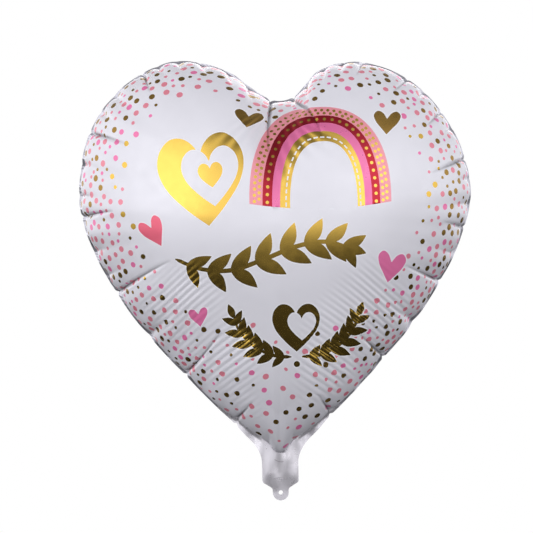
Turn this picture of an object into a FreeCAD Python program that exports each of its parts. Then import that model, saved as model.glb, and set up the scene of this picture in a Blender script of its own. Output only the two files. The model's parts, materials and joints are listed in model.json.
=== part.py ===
"""Heart-shaped foil balloon, inflated, with its flat neck (tail) and self-sealing valve.

Two sheets of metallised film are cut as hearts with a tail and heat-sealed round the edge.
Gas pushes the two hearts apart into a pillow, and the sealed edge stays as a narrow flange.
Two thinner films, sealed to each other along their long edges, run from the mouth in the tail
up into the gas space and close by themselves: they are the valve.
The tab below the mouth has the hole that a ribbon is tied through.

Millimetres. +Z is up, X is across the heart, and the printed front faces -Y.
The seal lies in the plane Y = 0, and the origin is the centre of the ribbon hole.
The film is 0.04 mm thick on the real balloon: the walls here are thicker stand-ins.
The limp tail folds fore and aft at the neck, so each film that passes the fold line is made
as two solids with a gap at the fold: one in the balloon and one in the tail.
"""

import FreeCAD, Part
import math
import os

import Sketcher

FRONT, BACK = -1, 1          # the side of the seal plane that a film lies on
EPS = 1e-6

doc = FreeCAD.newDocument("foil_balloon")

# ---------------------------------------------------------------- driving dimensions

DIMENSIONS = [
    # alias, value in mm or degrees, what it is
    ("inflated_width", 380.0, "across both lobes, outside the seal flange"),
    ("lobe_top", 418.0, "top of the lobes above the ribbon hole"),
    ("inflated_depth", 176.0, "front crown to back crown"),
    ("crown_height", 262.0, "height of the crown, the deepest point, above the hole"),
    ("flange_width", 4.0, "sealed edge outside the inflated part"),
    ("foil_wall", 0.8, "stand-in thickness of one foil sheet"),
    ("valve_wall", 0.3, "stand-in thickness of one valve film"),
    ("fold_height", 36.0, "height of the fold line above the hole"),
    ("fold_gap", 2.0, "gap between balloon and tail solids at the fold"),
    ("neck_length", 24.0, "sealed neck above the fold, as wide as the tail"),
    ("tail_width", 35.2, "flat width of the tail"),
    ("tail_shoulder", 9.5, "height where the tail starts to narrow to the tab"),
    ("tab_shoulder", 4.0, "height where the tab's straight sides start"),
    ("tab_radius", 7.7, "rounded end and half the width of the tab"),
    ("ribbon_hole_radius", 2.1, "hole for the ribbon"),
    ("mouth_height", 12.5, "height of the mouth, where the gas nozzle goes in"),
    ("mouth_width", 15.4, "width of the mouth"),
    ("mouth_gap", 1.6, "height of the mouth's slot"),
    ("valve_width", 27.0, "width of the valve films"),
    ("valve_length", 62.0, "valve film inside the balloon, above the fold"),
    ("valve_clearance", 0.15, "play between a valve film and its recess, each side"),
]

sheet = doc.addObject("Spreadsheet::Sheet", "sizes")
for row, (alias, value, meaning) in enumerate(DIMENSIONS, start=1):
    sheet.set(f"A{row}", meaning)
    sheet.set(f"B{row}", str(value))
    sheet.setAlias(f"B{row}", alias)
doc.recompute()


def size(alias):
    """The value of a driving dimension."""
    return float(sheet.get(alias))


def bind(feature, prop, formula):
    """Drives a property by spreadsheet cells; names in the formula are aliases of the sheet."""
    for alias, _, _ in DIMENSIONS:
        formula = formula.replace(f"[{alias}]", f"sizes.{alias}")
    feature.setExpression(prop, formula)


# ---------------------------------------------------------------- the heart's outline

# Right half of the flange's outer edge, from the notch down to the neck, as shares of the
# half width and of the height from the fold line to the top of the lobes.
HALF_OUTLINE = [
    (0.085, 0.914),   # beside the rounded notch
    (0.235, 0.975),
    (0.445, 1.000),   # top of the lobe
    (0.655, 0.965),
    (0.830, 0.888),
    (0.955, 0.773),
    (1.000, 0.652),   # widest
    (0.953, 0.555),
    (0.858, 0.452),
    (0.712, 0.342),
    (0.515, 0.227),
    (0.280, 0.106),
    (0.105, 0.022),   # beside the tip, in the neck
]
NOTCH_SHARE = 0.900
TIP_SHARE = -0.002


def outline_points(inset):
    """The closed heart outline as points (x, z), moved inwards by inset."""
    half_width = size("inflated_width") / 2
    low = size("fold_height")
    height = size("lobe_top") - low
    right = [(half_width * fx, low + height * fz) for fx, fz in HALF_OUTLINE]
    notch = (0.0, low + height * NOTCH_SHARE)
    tip = (0.0, low + height * TIP_SHARE)
    left = [(-x, z) for x, z in reversed(right)]
    points = [notch] + right + [tip] + left
    if inset == 0:
        return points
    moved = []
    count = len(points)
    for i, (x, z) in enumerate(points):
        before, after = points[i - 1], points[(i + 1) % count]
        dx, dz = after[0] - before[0], after[1] - before[1]
        length = math.hypot(dx, dz)
        moved.append((x + inset * dz / length, z - inset * dx / length))
    return moved


def outline_wire(inset, scale=1.0, y=0.0):
    """A closed smooth wire: the outline inset, scaled about the crown and set at depth y.

    Below the crown the height shrinks faster than the width, up to the square of the scale
    at the tip, so that the pillow is slim there instead of blunt.
    """
    crown, low = size("crown_height"), size("fold_height")
    vectors = []
    for x, z in outline_points(inset):
        towards_tip = max(0.0, (crown - z) / (crown - low))
        vectors.append(FreeCAD.Vector(scale * x, y, crown + scale ** (1 + towards_tip) * (z - crown)))
    curve = Part.BSplineCurve()
    curve.interpolate(Points=vectors, PeriodicFlag=True)
    return Part.Wire([curve.toShape()])


# Scaled copies of the outline that the inflated film passes through, from the seal to the
# crown. They crowd towards the seal, where the film leaves the seal plane almost squarely.
SECTION_ANGLES = [0, 8, 18, 30, 43, 56, 68, 78, 84]


def pillow(name, side, inset, depth):
    """A solid half pillow between the seal plane and the crown, as a loft of scaled hearts."""
    sections = []
    for i, degrees in enumerate(SECTION_ANGLES):
        angle = math.radians(degrees)
        section = doc.addObject("Part::Feature", f"{name}_section_{i}")
        section.Shape = outline_wire(inset, math.cos(angle), side * depth * math.sin(angle))
        sections.append(section)
    loft = doc.addObject("Part::Loft", name)
    loft.Sections = sections
    loft.Solid = True
    loft.Ruled = False
    return loft


def plate(name, wire, side, thickness_alias):
    """A flat plate of one wall's thickness, from the seal plane outwards."""
    edge = doc.addObject("Part::Feature", f"{name}_edge")
    edge.Shape = wire
    slab = doc.addObject("Part::Extrusion", name)
    slab.Base = edge
    slab.Dir = FreeCAD.Vector(0, side, 0)
    slab.DirMode = "Custom"
    slab.Solid = True
    bind(slab, "LengthFwd", f"[{thickness_alias}]")
    return slab


def block(name, length, depth, height, place):
    """A Part::Box with its sizes and place as formulas of the sheet."""
    box = doc.addObject("Part::Box", name)
    for prop, formula in zip(("Length", "Width", "Height"), (length, depth, height)):
        bind(box, prop, formula)
    for axis, formula in zip("xyz", place):
        bind(box, f"Placement.Base.{axis}", formula)
    return box


def joined(kind, name, base, tool):
    """A Part boolean of two objects: Part::Cut, Part::Fuse or Part::Common."""
    result = doc.addObject(kind, name)
    result.Base = base
    result.Tool = tool
    return result


# ---------------------------------------------------------------- the inflated panels


def foil_panel(label, side):
    """One heart of film: half pillow, hollow inside, with its sealed flange and open neck."""
    wall = size("foil_wall")
    flange = size("flange_width")
    half_depth = size("inflated_depth") / 2
    skin = pillow(f"{label}_skin", side, flange, half_depth)
    gas = pillow(f"{label}_gas", side, flange + wall, half_depth - wall)
    rim = plate(f"{label}_rim", outline_wire(0), side, "foil_wall")
    neck_y = "-[foil_wall]" if side == FRONT else "0"
    neck = block(
        f"{label}_neck",
        "[tail_width]",
        "[foil_wall]",
        "[neck_length]",
        ("-[tail_width] / 2", neck_y, "[fold_height]"),
    )
    edge = joined("Part::Fuse", f"{label}_edge", rim, neck)
    solid = joined("Part::Fuse", f"{label}_solid", skin, edge)
    hollow = joined("Part::Cut", f"{label}_hollow", solid, gas)
    below = block(
        f"{label}_below_fold",
        "2 * [tail_width]",
        "4 * [foil_wall]",
        "[fold_height]",
        ("-[tail_width]", "-2 * [foil_wall]", "[fold_gap] / 2"),
    )
    above_fold = joined("Part::Cut", f"{label}_above_fold", hollow, below)
    # The valve passes through the neck in a recess of its own thickness.
    recess_y = "-[valve_wall]" if side == FRONT else "0"
    recess = block(
        f"{label}_neck_recess",
        "[valve_width] + 2 * [valve_clearance]",
        "[valve_wall]",
        "[valve_length]",
        ("-[valve_width] / 2 - [valve_clearance]", recess_y, "[fold_height]"),
    )
    panel = joined("Part::Cut", f"{label}_final", above_fold, recess)
    panel.Label = label
    return panel


# ---------------------------------------------------------------- flat films, as PartDesign


def plane_of(body, role):
    return next(f for f in body.Origin.OriginFeatures if f.Role == role)


def new_sketch(body, name):
    """A sketch in the seal plane: its x is X and its y is Z, and its normal points to -Y."""
    sketch = body.newObject("Sketcher::SketchObject", name)
    sketch.AttachmentSupport = [(plane_of(body, "XZ_Plane"), "")]
    sketch.MapMode = "FlatFace"
    return sketch


def line(x1, y1, x2, y2):
    return Part.LineSegment(FreeCAD.Vector(x1, y1, 0), FreeCAD.Vector(x2, y2, 0))


def set_length(sketch, constraint, formula):
    """Adds a constraint and binds its value to a formula of the sheet."""
    index = sketch.addConstraint(constraint)
    bind(sketch, f"Constraints[{index}]", formula)


def centred_rectangle(sketch, width, bottom, top):
    """A rectangle centred on x = 0; width, bottom and top are (value, formula) pairs."""
    half, low, high = width[0] / 2, bottom[0], top[0]
    corners = [(-half, low), (half, low), (half, high), (-half, high)]
    for (x1, y1), (x2, y2) in zip(corners, corners[1:] + corners[:1]):
        sketch.addGeometry(line(x1, y1, x2, y2), False)
    for i in range(4):
        sketch.addConstraint(Sketcher.Constraint("Coincident", i, 2, (i + 1) % 4, 1))
    sketch.addConstraint(Sketcher.Constraint("Symmetric", 0, 1, 0, 2, -2))
    sketch.addConstraint(Sketcher.Constraint("Horizontal", 2))
    sketch.addConstraint(Sketcher.Constraint("Vertical", 1))
    sketch.addConstraint(Sketcher.Constraint("Vertical", 3))
    set_length(sketch, Sketcher.Constraint("Distance", 0, width[0]), width[1])
    set_length(sketch, Sketcher.Constraint("DistanceY", -1, 1, 0, 1, low), bottom[1])
    set_length(sketch, Sketcher.Constraint("DistanceY", -1, 1, 2, 1, high), top[1])


def pad(body, name, sketch, side, formula):
    """Pads a seal-plane sketch outwards: towards -Y for the front and +Y for the back."""
    feature = body.newObject("PartDesign::Pad", name)
    feature.Profile = sketch
    feature.Reversed = side == BACK
    bind(feature, "Length", formula)
    sketch.Visibility = False
    return feature


def pocket(body, name, sketch, side, formula):
    """Pockets from the seal plane outwards and checks that material was removed."""
    doc.recompute()
    before = body.Shape.Volume
    feature = body.newObject("PartDesign::Pocket", name)
    feature.Profile = sketch
    feature.Reversed = side == FRONT
    bind(feature, "Length", formula)
    doc.recompute()
    if body.Shape.Volume > before - EPS:
        raise RuntimeError(f"{name} cut nothing")
    return feature


def tail_outline(sketch):
    """The tail's flat outline below the fold: straight sides, shoulders and a rounded tab."""
    half, radius = size("tail_width") / 2, size("tab_radius")
    top = size("fold_height") - size("fold_gap") / 2
    shoulder, tab = size("tail_shoulder"), size("tab_shoulder")
    corners = [
        (-radius, 0), (-radius, tab), (-half, shoulder), (-half, top),
        (half, top), (half, shoulder), (radius, tab), (radius, 0),
    ]
    for (x1, y1), (x2, y2) in zip(corners, corners[1:]):
        sketch.addGeometry(line(x1, y1, x2, y2), False)
    circle = Part.Circle(FreeCAD.Vector(0, 0, 0), FreeCAD.Vector(0, 0, 1), radius)
    sketch.addGeometry(Part.ArcOfCircle(circle, math.pi, 2 * math.pi), False)
    arc = len(corners) - 1
    for i in range(arc - 1):
        sketch.addConstraint(Sketcher.Constraint("Coincident", i, 2, i + 1, 1))
    sketch.addConstraint(Sketcher.Constraint("Tangent", arc, 1, 0, 1))
    sketch.addConstraint(Sketcher.Constraint("Tangent", arc, 2, arc - 1, 2))
    sketch.addConstraint(Sketcher.Constraint("Coincident", arc, 3, -1, 1))
    sketch.addConstraint(Sketcher.Constraint("Vertical", 0))
    sketch.addConstraint(Sketcher.Constraint("Vertical", 2))
    sketch.addConstraint(Sketcher.Constraint("Symmetric", 3, 1, 3, 2, -2))
    sketch.addConstraint(Sketcher.Constraint("Symmetric", 1, 2, 5, 1, -2))
    sketch.addConstraint(Sketcher.Constraint("Symmetric", 1, 1, 5, 2, -2))
    set_length(sketch, Sketcher.Constraint("Radius", arc, radius), "[tab_radius]")
    set_length(sketch, Sketcher.Constraint("DistanceX", 3, 1, 3, 2, 2 * half), "[tail_width]")
    set_length(
        sketch, Sketcher.Constraint("DistanceY", -1, 1, 3, 1, top), "[fold_height] - [fold_gap] / 2"
    )
    set_length(sketch, Sketcher.Constraint("DistanceY", -1, 1, 1, 2, shoulder), "[tail_shoulder]")
    set_length(sketch, Sketcher.Constraint("DistanceY", -1, 1, 1, 1, tab), "[tab_shoulder]")


def foil_tail(label, side):
    """One film of the tail: recess for the valve film, ribbon hole and, in front, the mouth."""
    body = doc.addObject("PartDesign::Body", label)
    body.Label = label
    outline = new_sketch(body, f"{label}_outline")
    tail_outline(outline)
    pad(body, f"{label}_film", outline, side, "[foil_wall]")
    fold = size("fold_height") - size("fold_gap") / 2
    mouth = size("mouth_height")
    play = size("valve_clearance")
    recess = new_sketch(body, f"{label}_recess_outline")
    centred_rectangle(
        recess,
        (size("valve_width") + 2 * play, "[valve_width] + 2 * [valve_clearance]"),
        (mouth - play, "[mouth_height] - [valve_clearance]"),
        (fold + 1, "[fold_height] - [fold_gap] / 2 + 1"),
    )
    pocket(body, f"{label}_valve_recess", recess, side, "[valve_wall]")
    hole = new_sketch(body, f"{label}_hole_outline")
    radius = size("ribbon_hole_radius")
    hole.addGeometry(Part.Circle(FreeCAD.Vector(0, 0, 0), FreeCAD.Vector(0, 0, 1), radius), False)
    hole.addConstraint(Sketcher.Constraint("Coincident", 0, 3, -1, 1))
    set_length(hole, Sketcher.Constraint("Radius", 0, radius), "[ribbon_hole_radius]")
    pocket(body, f"{label}_ribbon_hole", hole, side, "[foil_wall] + 1")
    if side == FRONT:
        slot = new_sketch(body, f"{label}_mouth_outline")
        centred_rectangle(
            slot,
            (size("mouth_width"), "[mouth_width]"),
            (mouth, "[mouth_height]"),
            (mouth + size("mouth_gap"), "[mouth_height] + [mouth_gap]"),
        )
        pocket(body, f"{label}_mouth", slot, side, "[foil_wall] + 1")
    return body


def valve_film(label, side, bottom, top):
    """A strip of valve film between two heights, lying on the seal plane."""
    body = doc.addObject("PartDesign::Body", label)
    body.Label = label
    outline = new_sketch(body, f"{label}_outline")
    centred_rectangle(outline, (size("valve_width"), "[valve_width]"), bottom, top)
    pad(body, f"{label}_film", outline, side, "[valve_wall]")
    return body


# ---------------------------------------------------------------- the assembly

fold_above = (size("fold_height") + size("fold_gap") / 2, "[fold_height] + [fold_gap] / 2")
fold_below = (size("fold_height") - size("fold_gap") / 2, "[fold_height] - [fold_gap] / 2")
valve_inner_end = (size("fold_height") + size("valve_length"), "[fold_height] + [valve_length]")
valve_mouth_end = (size("mouth_height"), "[mouth_height]")

nodes = [
    foil_panel("front_foil_panel", FRONT),
    foil_panel("back_foil_panel", BACK),
    foil_tail("front_foil_tail", FRONT),
    foil_tail("back_foil_tail", BACK),
    valve_film("front_valve_film", FRONT, fold_above, valve_inner_end),
    valve_film("back_valve_film", BACK, fold_above, valve_inner_end),
    valve_film("front_valve_mouth", FRONT, valve_mouth_end, fold_below),
    valve_film("back_valve_mouth", BACK, valve_mouth_end, fold_below),
]
doc.recompute()

for item in doc.Objects:
    if "Invalid" in item.State or "Error" in item.State:
        raise RuntimeError(f"{item.Label} failed: {item.State}")

os.makedirs("parts", exist_ok=True)
for node in nodes:
    shape = node.Shape
    if shape.isNull() or not shape.isValid() or not shape.Solids:
        raise RuntimeError(f"{node.Label} has no valid solid")
    shape.exportStep(os.path.join("parts", f"{node.Label}.step"))
    box = shape.BoundBox
    print(
        f"{node.Label}: {len(shape.Solids)} solid, {shape.Volume:.1f} mm3, "
        f"x {box.XMin:.2f} to {box.XMax:.2f}, y {box.YMin:.2f} to {box.YMax:.2f}, "
        f"z {box.ZMin:.2f} to {box.ZMax:.2f}"
    )
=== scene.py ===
"""Heart-shaped foil balloon: two printed films, their sealed edge and tail, and the valve films.

Lengths are in millimetres until a mesh is made, and then in metres. X is across the heart,
Z is up and -Y is towards the viewer of the printed front. Each film starts as a flat plan,
centred on the crown, that one formula blows up into a pillow with puckers and ripples.
"""

import itertools
import json
import math
import random

import bpy
import numpy as np
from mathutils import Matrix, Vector, kdtree
from mathutils.geometry import delaunay_2d_cdt


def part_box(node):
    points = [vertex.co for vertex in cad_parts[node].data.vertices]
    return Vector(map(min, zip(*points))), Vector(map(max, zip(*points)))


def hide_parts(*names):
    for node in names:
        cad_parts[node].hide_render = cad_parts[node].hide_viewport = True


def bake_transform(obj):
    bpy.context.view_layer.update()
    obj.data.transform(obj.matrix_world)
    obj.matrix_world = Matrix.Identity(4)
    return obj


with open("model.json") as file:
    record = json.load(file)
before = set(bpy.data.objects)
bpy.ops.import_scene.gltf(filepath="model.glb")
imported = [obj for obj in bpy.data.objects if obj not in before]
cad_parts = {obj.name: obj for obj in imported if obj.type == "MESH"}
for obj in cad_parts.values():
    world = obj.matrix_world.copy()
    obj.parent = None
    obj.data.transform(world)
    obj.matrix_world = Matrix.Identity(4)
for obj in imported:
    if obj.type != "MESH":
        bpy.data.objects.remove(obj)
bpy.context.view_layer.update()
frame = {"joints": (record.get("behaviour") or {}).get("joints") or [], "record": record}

MM = 0.001
TAU = 2 * math.pi
FRONT, BACK = -1, 1

# ---------- sizes from the frame


def box_mm(node):
    """Low and high corner of a CAD node's box."""
    low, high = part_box(node)
    return np.array(low) / MM, np.array(high) / MM


TAIL_LOW, TAIL_HIGH = box_mm("front_foil_tail")
VALVE_HALF, _, VALVE_TOP = box_mm("front_valve_film")[1]
MOUTH_BOTTOM = box_mm("front_valve_mouth")[0][2]

HALF_WIDTH = 190.0
HALF_DEPTH = -box_mm("front_foil_panel")[0][1]
FOLD = frame["joints"][0]["pos_m"][2] / MM
LOBE_TOP = 418.0
CROWN = 262.0
SEAL = 4.0  # width of the sealed edge
TAIL_HALF = TAIL_HIGH[0]
TAIL_SHOULDER = 9.5
TAB_SHOULDER = 4.0
TAB_RADIUS = -TAIL_LOW[2]
HOLE_RADIUS = frame["record"]["mounts"][0]["dims"]["r_mm"]
NECK_TOP = 54.0  # where the neck's flare meets the heart's edge
NECK_LOW, NECK_HIGH = 30.0, 56.0  # heights between which the pillow turns into the tail
MOUTH_WIDTH = 15.4
MOUTH_GAP = 1.3
MOUTH_BOW = 0.8  # how far the mouth's middle stands above its ends
POINT_TOP = 84.0  # where the seal starts to widen towards the neck
POINT_SIDE = [(43.5, 74.2), (25.5, 60.2), (11.0, 48.0), (5.0, 41.2), (0.0, 38.8)]

# Right half of the sealed edge, from the notch to the neck, as in the CAD source.
HALF_OUTLINE = [
    (0.085, 0.914), (0.235, 0.975), (0.445, 1.000), (0.655, 0.965), (0.830, 0.888),
    (0.955, 0.773), (1.000, 0.652), (0.953, 0.555), (0.858, 0.452), (0.712, 0.342),
    (0.515, 0.227), (0.280, 0.106), (0.105, 0.022),
]
NOTCH_SHARE, TIP_SHARE = 0.900, -0.002

# ---------- curves


def smoothstep(low, high, value):
    """0 at low, 1 at high and smooth between them; high may be less than low."""
    t = np.clip((value - low) / (high - low), 0, 1)
    return t * t * (3 - 2 * t)


def smooth_closed(points, per_span=40):
    """A closed centripetal Catmull-Rom curve through the points."""
    p = np.array(points, float)
    out = []
    for i in range(len(p)):
        p0, p1, p2, p3 = (p[(i + k) % len(p)] for k in (-1, 0, 1, 2))
        t0 = 0.0
        t1 = t0 + np.linalg.norm(p1 - p0) ** 0.5
        t2 = t1 + np.linalg.norm(p2 - p1) ** 0.5
        t3 = t2 + np.linalg.norm(p3 - p2) ** 0.5
        t = np.linspace(t1, t2, per_span, endpoint=False)[:, None]
        a1 = (t1 - t) / (t1 - t0) * p0 + (t - t0) / (t1 - t0) * p1
        a2 = (t2 - t) / (t2 - t1) * p1 + (t - t1) / (t2 - t1) * p2
        a3 = (t3 - t) / (t3 - t2) * p2 + (t - t2) / (t3 - t2) * p3
        b1 = (t2 - t) / (t2 - t0) * a1 + (t - t0) / (t2 - t0) * a2
        b2 = (t3 - t) / (t3 - t1) * a2 + (t - t1) / (t3 - t1) * a3
        out.append((t2 - t) / (t2 - t1) * b1 + (t - t1) / (t2 - t1) * b2)
    return np.concatenate(out)


def smooth_open(points, per_span=14):
    """An open Catmull-Rom curve through the points (any number of columns)."""
    p = np.array(points, float)
    p = np.vstack([2 * p[0] - p[1], p, 2 * p[-1] - p[-2]])
    t = np.linspace(0, 1, per_span, endpoint=False)[:, None]
    out = []
    for p0, p1, p2, p3 in zip(p, p[1:], p[2:], p[3:]):
        out.append(0.5 * (2 * p1 + (p2 - p0) * t + (2 * p0 - 5 * p1 + 4 * p2 - p3) * t ** 2
                          + (3 * p1 - p0 - 3 * p2 + p3) * t ** 3))
    out.append(p[-2][None, :])
    return np.concatenate(out)


# ---------- the outline


def heart_outline():
    """The sealed edge as a closed curve, relative to the crown, clockwise from the notch."""
    rise = LOBE_TOP - FOLD
    right = [(HALF_WIDTH * fx, FOLD + rise * fz - CROWN) for fx, fz in HALF_OUTLINE]
    notch = (0.0, FOLD + rise * NOTCH_SHARE - CROWN)
    tip = (0.0, FOLD + rise * TIP_SHARE - CROWN)
    left = [(-x, z) for x, z in reversed(right)]
    return smooth_closed([notch] + right + [tip] + left)


def outward(curve):
    """Unit outward normals of a closed clockwise curve."""
    tangent = np.roll(curve, -1, axis=0) - np.roll(curve, 1, axis=0)
    tangent /= np.linalg.norm(tangent, axis=1)[:, None]
    return np.column_stack([-tangent[:, 1], tangent[:, 0]])


def seal_line():
    """Inner edge of the seal: a steady distance in from the edge, then to a point at the neck."""
    even = EDGE - SEAL * outward(EDGE)
    low = np.where(even[:, 1] + CROWN < POINT_TOP)[0]
    right, left = even[:low[0]], even[low[-1] + 1:]
    lower = [right[-1]] + [(x, z - CROWN) for x, z in POINT_SIDE]
    side = smooth_open(lower, 24)
    return np.vstack([right, side[1:], side[::-1][1:-1] * [-1, 1], left])


EDGE = heart_outline()
RIM = seal_line()
RIM_OUT = outward(RIM)
RIM_ANGLE = np.unwrap(np.arctan2(RIM[:, 0], RIM[:, 1]))
RIM_ANGLE -= TAU * round(RIM_ANGLE[0] / TAU)
RIM_RADIUS = np.linalg.norm(RIM, axis=1)
RIM_STEP = np.linalg.norm(np.roll(RIM, -1, axis=0) - RIM, axis=1)
RIM_RUN = np.concatenate([[0], np.cumsum(RIM_STEP)[:-1]])
RIM_LENGTH = RIM_STEP.sum()


def at_rim(angle, values):
    """A rim quantity at an angle from straight up, clockwise."""
    return np.interp(np.mod(angle, TAU), RIM_ANGLE, values, period=TAU)


def run_at(angle):
    """Distance along the rim, clockwise from the notch."""
    turned = np.mod(angle - RIM_ANGLE[0], TAU) + RIM_ANGLE[0]
    return np.interp(turned, np.append(RIM_ANGLE, RIM_ANGLE[0] + TAU),
                     np.append(RIM_RUN, RIM_LENGTH))


# ---------- flat plan to pillow

SLIM = 0.64  # how much narrower in height the pillow gets below the crown
KEEL_WIDTH = 13.0  # half width over which the line down its middle is rounded


def polar(flat):
    """Angle, rim radius and share of the rim radius of points in the flat plan."""
    angle = np.arctan2(flat[:, 0], flat[:, 1])
    radius = at_rim(angle, RIM_RADIUS)
    return angle, radius, np.hypot(flat[:, 0], flat[:, 1]) / radius


def slimming(rim_z, scale):
    """Shrinking of heights below the crown, more so nearer to it and nearer to the tip."""
    return 1 - SLIM * np.clip(-rim_z / (CROWN - FOLD), 0, 1) * (1 - scale)


def keel_rounding(x, z, scale):
    """Depth taken off the middle line below the crown, so that it is round and not a ridge."""
    steepness = 0.30 * scale / np.sqrt(1 - scale ** 2 + 0.02)
    width = np.minimum(KEEL_WIDTH, 60 * (1 - scale ** 2))
    return steepness * (np.hypot(x, width) - np.abs(x)) * smoothstep(-40, -130, z)


def projected(flat):
    """Where points of the plan are on the smooth pillow: x, z from the crown, and depth."""
    angle, radius, share = polar(flat)
    share = np.minimum(share, 1)
    scale = np.sin(share * math.pi / 2)
    depth = HALF_DEPTH * np.cos(share * math.pi / 2)
    rim_x, rim_z = radius * np.sin(angle), radius * np.cos(angle)
    x, z = scale * rim_x, scale * slimming(rim_z, scale) * rim_z
    return x, z, depth - keel_rounding(x, z, scale), scale


def to_plan(x, z):
    """Inverse of projected(): the plan point that shows at x, z from the crown."""
    x, z = np.asarray(x, float), np.asarray(z, float)
    scale = np.full(x.shape, 0.7)
    slim = np.ones(x.shape)
    for _ in range(40):
        angle = np.arctan2(x, z / slim)
        radius = at_rim(angle, RIM_RADIUS)
        scale = 0.5 * scale + 0.5 * np.clip(np.hypot(x, z / slim) / radius, 1e-6, 1)
        slim = slimming(radius * np.cos(angle), scale)
    share = np.arcsin(np.clip(scale, 0, 1)) * 2 / math.pi
    return np.column_stack([share * radius * np.sin(angle), share * radius * np.cos(angle)])


# ---------- puckers and ripples

# Puckers that the seal pulls into the film, listed one by one: angle of the rim in degrees from
# the notch, then depth, length and half width in millimetres, and slant (sideways run per
# unit of length).
PLACED_PUCKERS = [
    (-40.6, 6.5, 20, 5.0, -0.4), (-63.0, 7.5, 36, 6.0, 0.15), (-87.4, 7.0, 32, 6.0, 0.2),
    (-113.0, 8.5, 60, 7.0, 0.1), (-131.0, 3.4, 22, 5.0, -0.2), (-148.4, 9.0, 48, 7.0, -0.5),
    (-167.8, 7.0, 19, 5.0, -0.9), (-3.8, 8.5, 60, 5.0, 0.0), (6.5, 8.5, 96, 5.0, 1.0),
    (29.9, 4.2, 14, 4.5, 0.1), (43.0, 4.8, 18, 5.0, -0.1), (56.7, 5.0, 20, 5.0, 0.2),
    (72.5, 7.0, 36, 6.0, 0.1), (92.6, 5.0, 22, 5.0, -0.2), (110.9, 8.0, 38, 7.0, 0.0),
    (127.0, 3.4, 20, 5.0, 0.2), (142.4, 8.5, 34, 7.0, 0.4), (165.1, 7.0, 17, 5.0, 0.6),
    (176.4, 2.4, 8, 1.6, 0.0), (-177.0, 2.6, 9, 1.6, 0.0),
]
PUCKER_PITCH = 23.0
PUFF = 2.6  # how far the film stands out past the seam between puckers
PUFF_REACH = 11.0  # distance from the seam where it stands out most
DEEP = 4.0  # a pucker deeper than this has a sharp fold
CREASE_HALF = 1.1  # half width of that fold
NECK_RUN = float(run_at(math.pi))


def gap_round(run, other):
    """Signed distance along the rim from other to run, the short way round."""
    return (run - other + RIM_LENGTH / 2) % RIM_LENGTH - RIM_LENGTH / 2


def make_puckers():
    """The placed puckers and small ones between them, each with its run along the rim first."""
    rng = random.Random(11)
    placed = [(float(run_at(np.radians(p[0]))),) + p[1:] for p in PLACED_PUCKERS]
    found = list(placed)
    run = 0.5 * PUCKER_PITCH
    while run < RIM_LENGTH - 0.4 * PUCKER_PITCH:
        if min(abs(gap_round(run, d[0])) for d in placed) > 0.6 * PUCKER_PITCH:
            above = float(smoothstep(0.34, 0.22, 0.5 - abs(run / RIM_LENGTH - 0.5)))
            draw = [rng.random() for _ in range(4)]
            if above > 0.05:
                found.append((run, above * (0.9 + 1.1 * draw[0]), 7 + 8 * draw[1],
                              1.8 + draw[2], 0.5 * draw[3] - 0.25))
        run += PUCKER_PITCH * rng.uniform(0.8, 1.35)
    return sorted(found)


PUCKERS = make_puckers()


def pucker_share(run):
    """0 at each pucker's end on the rim, 1 half way to the next: the scallops of the edge."""
    at = np.array([p[0] for p in PUCKERS])
    at = np.concatenate([[at[-1] - RIM_LENGTH], at, [at[0] + RIM_LENGTH]])
    k = np.clip(np.searchsorted(at, run), 1, len(at) - 1)
    share = (run - at[k - 1]) / (at[k] - at[k - 1])
    return np.sqrt(np.clip(np.sin(math.pi * share), 0, 1))


SHADE_LINE_WIDTH = 0.85  # width of the painted shade line along a sharp fold
# Strength of the painted shade near the tip and of the painted dark stripe down the tail.
TIP_PAINTED_SHADE, CHANNEL_PAINTED_SHADE = 0.22, 0.38


def painted_shade_amount(flat):
    """0 to 1: painted shade on the film's colour, in sharp folds, near the tip and in the tail."""
    angle, radius, share = polar(flat)
    scale = np.sin(np.minimum(share, 1) * math.pi / 2)
    inward = (1 - scale) * radius
    run = run_at(angle)
    total = np.zeros(len(flat))
    # painted shade: a dark line down the bottom of each sharp fold
    for at, deep, length, _, slant in PUCKERS:
        if deep <= DEEP:
            continue
        across = (gap_round(run, at) - slant * inward) * scale
        along = inward / length
        near = (np.abs(across) < 5) & (along < 1)
        line = np.exp(-((across[near] - 0.5) / SHADE_LINE_WIDTH) ** 2)
        fade = (1 - along[near]) ** 0.7 * smoothstep(-0.02, 0.06, along[near])
        total[near] = np.maximum(total[near], min(deep / 6, 1) * line * fade)
    x, z = flat[:, 0], flat[:, 1] + CROWN
    # painted shade: a dark stripe down the middle of the tail
    painted_channel_shade = np.exp(-((x + 0.5) / 3.6) ** 2) * smoothstep(16, 22, z) * smoothstep(45, 36, z)
    # painted shade: the heart's film darker towards its tip
    painted_tip_shade = np.where(share < 1, TIP_PAINTED_SHADE * smoothstep(150, 52, z), 0)
    return np.maximum(total + painted_tip_shade, CHANNEL_PAINTED_SHADE * painted_channel_shade)


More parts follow.
